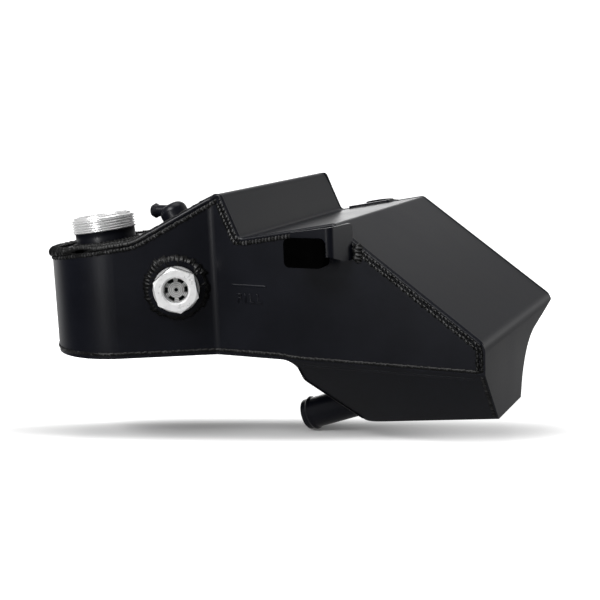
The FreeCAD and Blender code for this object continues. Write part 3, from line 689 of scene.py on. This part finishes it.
# The nose's edge carries a proud corner weld that thins out up the ramp and round the back of the nose
rim = {"down": 0.6, "inward": 1.4, "end": 7.0, "rearEnd": -72.0, "up": 1.3, "wide": 6.4, "high": 2.4,
       "pitch": 2.0, "places": (-130.0, -80.0, -30.0), "sizes": (1.7, 1.0, 0.5), "rearFrom": 0.3,
       "fadeFrom": -70.0, "fadeOver": 45.0, "least": 0.12}
path, out = topEdge(rim["down"], rim["inward"],
                    lambda x, y: (x < rim["end"]) & (y < frontAndNose[1]) | (x < rim["rearEnd"]))
thick = np.interp(path[:, 0], rim["places"], rim["sizes"])
rearShare = np.clip((rim["fadeFrom"] - path[:, 0]) / rim["fadeOver"], rim["least"], 1.0)
thick = thick * np.where(out[:, 1] > rim["rearFrom"], rearShare, 1.0)
weldBead("noseRim", path, unitRows(out + (0.0, 0.0, rim["up"])), rim["wide"] * np.sqrt(thick),
         rim["high"] * thick, rim["pitch"], bow=0.3, ripple=0.2, glintShare=0.45)

# The foot weld climbs with the raised rear of the bottom and drops a little over the sump
foot = {"up": 3.6, "over": 2.2, "sumpFrom": 48.0, "sumpOver": 16.0, "front": 1.0, "end": 195.0, "wide": 2.5,
        "high": 0.8, "pitch": 2.4}
climb = np.clip((planLine[:, 1] - tank["riseY"]) / (tank["depth"] - tank["riseY"]), 0.0, 1.0)
overSump = np.clip((planLine[:, 0] - foot["sumpFrom"]) / foot["sumpOver"], 0.0, 1.0)
overSump = overSump * (planLine[:, 1] < foot["front"])
footZ = climb * tank["rise"] + foot["up"] + (foot["over"] - foot["up"]) * overSump
footPath = np.column_stack([planLine, footZ, normals])
footPath = evenly(footPath[planLine[:, 0] < foot["end"]])
weldBead("footSeam", footPath[:, :3], unitRows(footPath[:, 3:]), foot["wide"], foot["high"], foot["pitch"],
         bow=0.1, ripple=0.2, weave=0.12, glintShare=0.85, even=0.7)


def straightBead(name, corners, facing, s, **more):
    # a bead along straight runs, all of it facing one way
    path = evenly(np.array(corners, float))
    facing = np.tile(unitRows(np.array(facing, float)), (len(path), 1))
    weldBead(name, path, facing, s["wide"], s["high"], s["pitch"], **more)


# Edges of the sump: its fold under the front wall, the end wall's foot and the corner on the outlet's side
keelWay = unitRows(np.array([0.0, *tank["keelFront"]]))
sumpOut = np.array([0.0, keelWay[2], -keelWay[1]])
fold = {"drop": 5.2, "from": 66.0, "to": 190.0, "wide": 1.8, "high": 0.16, "pitch": 3.0}
lowered = (keelWay * fold["drop"])[1:]
straightBead("sumpFold", [(fold["from"], *lowered), (fold["to"], *lowered)], sumpOut, fold,
             ripple=0.0, vary=0.0, finish=sheetFinish)
endFoot = {"x": 195.4, "top": 1.5, "share": 0.97, "wide": 2.8, "high": 0.55, "pitch": 1.8}
endDrop = keelWay * tank["sumpEndZ"] / keelWay[2]
straightBead("endFoot", [(endFoot["x"], *(keelWay * endFoot["top"])[1:]),
                         (endFoot["x"], *(endDrop * endFoot["share"])[1:])], sumpOut, endFoot, ripple=0.7)
sumpCorner = {"top": -5.0, "short": 3.0, "wide": 2.6, "high": 0.5, "pitch": 2.2}
cornerToe = (tank["toe"][0] - sumpCorner["short"], tank["toe"][1] + sumpCorner["short"])
corner = roundedLine([(tank["sumpX"], sumpCorner["top"]), tank["knee"], cornerToe], [tank["sumpRound"]])
cornerY = corner[:, 1] * tank["keelFront"][0] / tank["keelFront"][1]
cornerWay = unitRows(np.gradient(corner, axis=0))
cornerOut = unitRows(np.column_stack([cornerWay[:, 1], 0 * corner[:, 0], -cornerWay[:, 0]]) + sumpOut)
weldBead("sumpCorner", np.column_stack([corner[:, 0], cornerY, corner[:, 1]]), cornerOut,
         sumpCorner["wide"], sumpCorner["high"], sumpCorner["pitch"], ripple=0.5)

# The nose's upright seam, the arm's root and the ear's lap
upright = {"low": 5.5, "below": 6.0, "wide": 4.0, "high": 1.0, "pitch": 2.8}
seamX = tank["nose"][0] - math.sqrt(tank["noseR"] ** 2 - tank["seamBack"] ** 2)
seamY = tank["nose"][1] + tank["seamBack"]
seamTop = tank["noseLift"] + noseSlope * seamX - upright["below"]
straightBead("noseUpright", [(seamX, seamY, upright["low"]), (seamX, seamY, seamTop)],
             (seamX - tank["nose"][0], tank["seamBack"], 0.0), upright)
armRoot = {"from": (111.4, 0.0, 70.0), "to": (112.6, 0.0, 84.0), "faces": (0.45, -0.9, 0.0), "wide": 9.0,
           "high": 3.0, "pitch": 2.3}
straightBead("armRoot", [armRoot["from"], armRoot["to"]], armRoot["faces"], armRoot,
             bow=0.5, ripple=0.5, weave=0.4)
earLap = {"x": 49.0, "half": 16.0, "inside": 6.2, "faces": (-0.12, -0.5, 0.85), "wide": 2.4, "high": 0.9,
          "pitch": 2.2}
flatRise = (tank["crest"][1] - tank["valley"][1]) / (tank["crest"][0] - tank["valley"][0])
lap = np.array([[half, 0.0, half * flatRise] for half in (-earLap["half"], earLap["half"])])
lapZ = tank["valley"][1] + flatRise * (earLap["x"] - tank["valley"][0])
straightBead("earLap", lap + (earLap["x"], tank["depth"] - earLap["inside"], lapZ), earLap["faces"], earLap)
print("seams laid")


def ringPath(centre, axis, radius, count, sideways, stretch):
    # a circle, or an ellipse stretched along one side, square to an axis
    axis = unitRows(np.array(axis, float))
    first = np.array(sideways, float)
    first = unitRows(first - axis * (first @ axis))
    second = np.cross(axis, first)
    t = np.linspace(0.0, 2 * np.pi, count + 1)[:-1][:, None]
    ray = first * np.cos(t) + second * np.sin(t) * stretch
    return np.array(centre, float) + radius * ray, unitRows(ray), t[:, 0]


# the painted highlight on ring welds grows towards the upper left, the lit side
ringGlint = {"upperLeft": np.array([-0.35, 0.0, 0.94]), "least": 0.35, "more": 0.5}


def ringBead(name, centre, axis, radius, s, lean=0.6, sideways=(0.0, 1.0, 0.0), stretch=1.0, swell=0.0,
             patchy=0.0, **more):
    # a closed bead in the corner between a tube and a plate: it faces out and along the tube's axis, it may
    # swell towards its upper left side, its painted highlight is strongest on that lit side, and two slow
    # waves round it may leave patches with less painted highlight
    count = int(2 * math.pi * radius / lineStep)
    path, ray, t = ringPath(centre, axis, radius, count, sideways, stretch)
    facing = unitRows(ray * (1.0 - lean) + np.array(axis, float) * lean)
    lift = 0.5 + 0.5 * ray @ ringGlint["upperLeft"]       # 1 on the upper left side, 0 opposite
    patches = 1.0 - patchy * (0.5 + 0.3 * np.sin(3 * t + 0.6) + 0.2 * np.sin(7 * t))
    swollen = 1.0 + swell * (lift - 0.5)
    return weldBead(name, path, facing, s["wide"] * swollen, s["high"] * swollen, s["pitch"], loop=True,
                    glintShare=(ringGlint["least"] + ringGlint["more"] * lift) * patches, **more)


neck = {"x": -93.8, "y": 5.0, "radius": 22.0, "beyond": 1.0, "wide": 4.8, "high": 2.2, "pitch": 2.8}
neckPlace = (neck["x"], neck["y"], tank["noseLift"] + noseSlope * neck["x"])
ringBead("neckWeld", neckPlace, neckAxis, neck["radius"] + neck["beyond"], neck, bow=0.3, ripple=0.6)
sightRing = {"lower": 0.4, "proud": 0.8, "beyond": 0.2, "wide": 7.6, "high": 2.4, "pitch": 2.7}
sightCentre = (sightPlace - np.array((0.0, 0.0, sightRing["lower"]))
               + sightRing["proud"] * np.array(sightAxis))
ringBead("sightWeld", sightCentre, sightAxis, sight["bungR"] + sightRing["beyond"], sightRing, lean=0.72,
         sideways=(0.0, 0.0, 1.0), swell=0.6, patchy=0.8, bow=1.1, ripple=0.55, weave=0.35, sink=2.4,
         vary=4.0)
vent = {"x": -31.5, "y": 8.0, "bodyR": 10.0, "beyond": 0.6, "wide": 3.6, "high": 1.4, "pitch": 2.6}
rampAngle = math.atan((tank["peak"][1] - rampZ) / (tank["peak"][0] - tank["rampX"]))
rampAxis = (-math.sin(rampAngle), 0.0, math.cos(rampAngle))
ventPlace = (vent["x"], vent["y"], rampZ + math.tan(rampAngle) * (vent["x"] - tank["rampX"]))
ringBead("ventWeld", ventPlace, rampAxis, vent["bodyR"] + vent["beyond"], vent)
outlet = {"x": 85.5, "y": 58.5, "down": 19.8, "radius": 11.5, "beyond": 0.8, "wide": 4.2, "high": 1.8,
          "pitch": 2.9}
slant = unitRows(np.array([tank["toe"][0] - tank["knee"][0], 0.0, tank["toe"][1] - tank["knee"][1]]))
slantOut = np.array([slant[2], 0.0, -slant[0]])
outletZ = tank["knee"][1] + slant[2] / slant[0] * (outlet["x"] - tank["knee"][0])
tubeDown = math.radians(outlet["down"])
tubeWay = np.array([-math.cos(tubeDown), 0.0, -math.sin(tubeDown)])
ringBead("outletWeld", (outlet["x"], outlet["y"], outletZ), slantOut, outlet["radius"] + outlet["beyond"],
         outlet, stretch=1.0 / float(tubeWay @ slantOut))
print("ring welds laid")

# Filler neck with its thread; the groove's two numbers are its middle, cut off at 1, and its fall per pitch
neckForm = {"root": -3.0, "collar": 10.0, "collarEdge": 1.2, "thread": 8.6, "threadR": 23.4, "depth": 1.1,
            "turns": 4.5, "groove": (1.25, 3.4), "fadeIn": 0.8, "lip": 2.4, "lipR": 21.2, "lipFoot": 0.9,
            "boreR": 17.0, "boreLow": 6.0, "seatR": 19.0, "seatDeep": 4.0, "seatEdge": 0.4, "bevel": 0.5,
            "ease": 0.3, "paintEdge": 1.4, "landRows": 66, "around": 160}


def fillerNeck():
    # a profile of radius and height turned about the neck's axis; over the thread land the radius drops by a
    # rounded V whose place climbs one pitch for each turn, fading in and out at both ends of the land
    f = neckForm
    body, bevel, ease = neck["radius"], f["bevel"], f["ease"]
    landTop = f["collar"] + f["thread"]
    top = landTop + f["lip"]
    landZ = np.linspace(f["collar"], landTop, f["landRows"])
    profile = np.concatenate([
        [(f["boreR"], f["root"]), (body, f["root"]), (body, 0.0), (body, f["collar"] / 2),
         (body, f["collar"] - f["collarEdge"]), (f["threadR"] - bevel, f["collar"] - bevel)],
        np.column_stack([np.full(f["landRows"], f["threadR"]), landZ]),
        [(f["threadR"] - bevel, top - f["lip"] + ease), (f["lipR"], top - f["lip"] + f["lipFoot"]),
         (f["lipR"], top - bevel), (f["lipR"] - ease / 2, top - ease / 2), (f["lipR"] - bevel, top),
         (f["seatR"] + ease, top), (f["seatR"], top - ease), (f["seatR"], top - f["seatDeep"]),
         (f["boreR"] + ease, top - f["seatDeep"]), (f["boreR"], top - f["seatDeep"] - f["seatEdge"]),
         (f["boreR"], f["boreLow"])],
    ])
    turn = np.linspace(0.0, 2 * np.pi, f["around"] + 1)[:-1]
    pitch = f["thread"] / f["turns"]
    r, z = profile[:, :1], profile[:, 1:]
    step = ((z - f["collar"]) / pitch - turn[None] / (2 * np.pi)) % 1.0
    groove = np.clip(f["groove"][0] - np.abs(step - 0.5) * f["groove"][1], 0.0, 1.0)
    land = np.clip((z - f["collar"]) / f["fadeIn"], 0, 1) * np.clip((landTop - z) / f["fadeIn"], 0, 1)
    r = r - f["depth"] * groove * land
    axis = np.array(neckAxis)
    first = np.array([math.cos(noseTilt), 0.0, math.sin(noseTilt)])
    second = np.array([0.0, 1.0, 0.0])
    grid = np.array(neckPlace) + axis * (z + 0 * r)[..., None]
    grid = grid + first * (r * np.cos(turn))[..., None] + second * (r * np.sin(turn))[..., None]
    bare = np.clip((z + 0 * r - f["collar"] + f["paintEdge"]) / f["paintEdge"], 0.0, 1.0)
    item = surface("fillerNeck", grid, loopU=True, loopV=True, tag=("bare", bare))
    return dress(item, neckFinish, "bare_aluminium", "filler_neck")


fillerNeck()
print("neck turned")

# Level mark on the front wall: a raised line with a plain word under it
mark = {"from": (13.9, 0.0, 51.4), "to": (41.4, 0.0, 51.2), "wide": 1.7, "high": 0.3, "pitch": 3.0,
        "word": "FILL", "tall": 9.0, "spread": 1.35, "at": (17.6, 39.2), "proud": 0.45, "bevel": 0.3}
straightBead("levelLine", [mark["from"], mark["to"]], (0.0, -1.0, 0.0), mark, ripple=0.0, vary=0.0,
             finish=fittingFinish)


def levelWord():
    # solid letters: the curve's mesh, with its own x and y laid on the wall's length and height and its
    # depth outwards
    curve = bpy.data.curves.new("levelWord", "FONT")
    curve.body = mark["word"]
    curve.size = mark["tall"]
    curve.space_character = mark["spread"]
    curve.extrude = mark["proud"]
    curve.bevel_depth = mark["bevel"]
    curve.bevel_resolution = 1
    curve.resolution_u = 2
    draft = bpy.data.objects.new("draft", curve)
    bpy.context.scene.collection.objects.link(draft)
    mesh = bpy.data.meshes.new_from_object(draft.evaluated_get(bpy.context.evaluated_depsgraph_get()))
    bpy.data.objects.remove(draft)
    flat = np.empty(len(mesh.vertices) * 3)
    mesh.vertices.foreach_get("co", flat)
    flat = flat.reshape(-1, 3)
    laid = np.column_stack([flat[:, 0] + mark["at"][0], -flat[:, 2], flat[:, 1] + mark["at"][1]])
    mesh.vertices.foreach_set("co", (laid * mm + datum).reshape(-1))
    mesh.update()
    item = bpy.data.objects.new("levelWord", mesh)
    bpy.context.scene.collection.objects.link(item)
    return dress(item, fittingFinish, "black_coat")


levelWord()
print("level mark made")

# Stage: a white sweep that is floor and backdrop in one, in metres, a hair below the tank
stage = {"floorZ": cadBox[0].z - 0.0004, "front": -3.0, "back": 1.6, "bend": 0.9, "top": 3.2, "half": 4.0}


def sweepSheet():
    # a flat run, a quarter circle and an upright run, carried sideways as one sheet
    s = stage
    t = np.linspace(0.0, np.pi / 2, 40)
    line = np.concatenate([
        [(s["front"], s["floorZ"])],
        np.column_stack([s["back"] + s["bend"] * np.sin(t), s["floorZ"] + s["bend"] * (1 - np.cos(t))]),
        [(s["back"] + s["bend"], s["top"])],
    ])
    x = np.linspace(-s["half"], s["half"], 3)
    grid = np.stack(np.broadcast_arrays(x[None], line[:, :1], line[:, 1:]), axis=-1)
    item = surface("sweep", (grid - datum) / mm, bounded=False)
    return item


# The oval of floor that keeps its shadow, where the lowered glow paints the shadow's outline and its paler
# right end around the lamps' real shadow: its turn in degrees, its half lengths in metres, its own glow, and
# more glow at its right, between two shares of its half length
shadow = {"at": (-0.034, -0.153), "turn": 18.6, "long": 0.338, "deep": 0.035, "keep": 0.02, "right": 0.34,
          "rightEnds": (0.05, 0.5), "paper": shade(0.68)}
# How bright mirrors see the sweep on each side, and the ends of each change in metres; right adds a share,
# dip and beside take one away, and under is the share that is left below the tank, a painted shadow for
# mirrors
mirrors = {
    "front": 0.15, "corner": 0.03, "frontX": -0.12, "frontEnds": (0.06, 0.32),
    "back": 0.58, "high": 0.42, "highEnds": (0.5, 1.4), "backEnds": (-0.4, -0.02),
    "left": 1.0, "leftEnds": (0.2, 1.0),
    "right": 0.8, "rightEnds": (0.75, 1.15),
    "dip": 0.66, "dipAt": (0.5, 2.5, 0.6), "dipEnds": (0.15, 0.75),
    "under": 0.45, "underAt": (0.0, -0.1, stage["floorZ"]), "underEnds": (0.10, 0.34),
    "beside": 0.6, "besideEnds": (0.17, 0.27), "floorEnds": (-0.1, 0.1),
}
white = (1.0, 1.0, 1.0, 1.0)


def sweepFinish():
    # white paper: it glows white for the eye except in a long oval under the tank, where the lowered glow
    # paints the shadow's shape and its own lit and shaded surface shows; mirrors see a dim front, a half
    # bright back with a dim patch, a painted shadow under the tank and a white left side
    finish, w = newFinish("white sweep")
    m = mirrors
    at = w.place()
    x = w.node("SeparateXYZ", {}, {0: at})
    y, z = x.other(1), x.other(2)
    seen = w.node("LightPath")
    mirrored, through = seen.other("Is Glossy Ray"), seen.other("Is Transmission Ray")
    turn = math.radians(shadow["turn"])
    right, deep = x - shadow["at"][0], y - shadow["at"][1]
    along = (right * math.cos(turn) + deep * math.sin(turn)) / shadow["long"]
    away = (deep * math.cos(turn) - right * math.sin(turn)) / shadow["deep"]
    # painted shadow: inside the oval the glow drops, lowest at its middle and left, around the lamps' real
    # shadow
    clear = (along * along + away * away).fade(0.0, 1.0)
    base = shadow["keep"] + along.fade(*shadow["rightEnds"]) * shadow["right"]
    glow = (seen + through) * (base + clear * (1.0 - base))
    middle = 1.0 - w.maths("ABSOLUTE", x - m["frontX"]).fade(*m["frontEnds"])
    front = m["corner"] + middle * (m["front"] - m["corner"])
    tone = m["back"] + z.fade(*m["highEnds"]) * (m["high"] - m["back"])
    dip = 1.0 - w.apart(at, m["dipAt"]).fade(*m["dipEnds"])
    tone = tone * (1.0 + x.fade(*m["rightEnds"]) * m["right"]) * (1.0 - m["dip"] * dip)
    back = tone + (0.0 - x).fade(*m["leftEnds"]) * (m["left"] - tone)
    glass = front + y.fade(*m["backEnds"]) * (back - front)
    # painted shadow for mirrors: the glow they see is dimmed below the tank
    clearOf = w.apart(at, m["underAt"]).fade(*m["underEnds"])
    glass = glass * (m["under"] + clearOf * (1.0 - m["under"]))
    glass = glass * (1.0 - m["beside"] * x.fade(*m["besideEnds"]) * (1.0 - z.fade(*m["floorEnds"])))
    shown = w.node("Emission", {}, {"Color": white, "Strength": glow})
    paper = w.node("BsdfDiffuse", {}, {"Color": shadow["paper"]})
    both = w.node("AddShader", {}, {0: shown, 1: paper})
    glassy = w.node("Emission", {}, {"Color": white, "Strength": glass})
    mixed = w.node("MixShader", {}, {0: mirrored, 1: both, 2: glassy})
    w.node("OutputMaterial", {}, {"Surface": mixed})
    return finish


sweep = sweepSheet()
sweep.data.materials.append(sweepFinish())

room = {"fill": 0.08, "mirrored": 0.1}


def addWorld():
    # the room: white to the eye and through glass, dim to mirrors, and a low even fill on the tank
    world = bpy.data.worlds.new("studio")
    bpy.context.scene.world = world
    world.use_nodes = True
    world.node_tree.nodes.clear()
    w = Wire(world.node_tree)
    seen = w.node("LightPath")
    mirrored, through = seen.other("Is Glossy Ray"), seen.other("Is Transmission Ray")
    strength = room["fill"] + (seen + through) * (1.0 - room["fill"]) + mirrored * room["mirrored"]
    sky = w.node("Background", {}, {"Color": white, "Strength": strength})
    w.node("OutputWorld", {}, {"Surface": sky})


addWorld()
lamps = {
    "key": {"at": (-0.45, -1.4, 1.25), "aim": (0.0, -0.15, -0.05), "size": (1.0, 0.7), "power": 30.0},
    "strip": {"at": (-0.13, -1.55, 0.14), "aim": (-0.13, -0.2, -0.03), "size": (0.12, 0.5), "power": 4.2},
    "over": {"at": (0.0, 0.05, 1.35), "aim": (-0.02, -0.1, -0.05), "size": (1.2, 0.9), "power": 8.0},
    "back": {"at": (-1.15, 2.0, 0.12), "aim": (0.03, -0.05, 0.0), "size": (0.9, 0.5), "power": 3.0},
    "right": {"at": (1.25, 0.12, 0.08), "aim": (0.06, -0.2, 0.0), "size": (0.4, 0.3), "power": 3.2},
}


def placed(side, rise, back, at):
    # a matrix whose columns are three directions and a place
    return Matrix([[side[k], rise[k], back[k], at[k]] for k in range(3)] + [[0, 0, 0, 1]])


def addLamp(name, s):
    # an area lamp that looks from one point to another
    lamp = bpy.data.lights.new(name, "AREA")
    lamp.shape = "RECTANGLE"
    lamp.size, lamp.size_y = s["size"]
    lamp.energy = s["power"]
    item = bpy.data.objects.new(name, lamp)
    bpy.context.scene.collection.objects.link(item)
    item.visible_camera = False
    at, aim = np.array(s["at"]), np.array(s["aim"])
    back = unitRows(at - aim)
    steep = abs(back[2]) >= 0.95           # a lamp overhead has no level side of its own
    upwards = (0.0, 1.0, 0.0) if steep else (0.0, 0.0, 1.0)
    side = unitRows(np.cross(upwards, back))
    item.matrix_world = placed(side, np.cross(back, side), back, at)


for name, settings in lamps.items():
    addLamp(name, settings)

# Angles in degrees, the place in metres, lens and sensor in mm
view = {"turn": 26.27, "lift": 10.87, "roll": 2.2, "at": (0.351203, -0.870894, 0.100452), "lens": 67.04,
        "sensor": 36.0}


def addCamera():
    # the camera looks along its turn and lift, then rolls about its own line of sight
    turn, lift, roll = (math.radians(view[k]) for k in ("turn", "lift", "roll"))
    ahead = np.array([-math.sin(turn) * math.cos(lift), math.cos(turn) * math.cos(lift), -math.sin(lift)])
    level = np.array([math.cos(turn), math.sin(turn), 0.0])
    above = np.cross(level, ahead)
    side = level * math.cos(roll) - above * math.sin(roll)
    rise = above * math.cos(roll) + level * math.sin(roll)
    camera = bpy.data.cameras.new("view")
    camera.sensor_fit = "HORIZONTAL"
    camera.sensor_width = view["sensor"]
    camera.lens = view["lens"]
    item = bpy.data.objects.new("view", camera)
    bpy.context.scene.collection.objects.link(item)
    item.matrix_world = placed(side, rise, -ahead, view["at"])
    bpy.context.scene.camera = item


addCamera()
bpy.context.scene.view_settings.view_transform = "Standard"
print("stage, lamps and camera set")
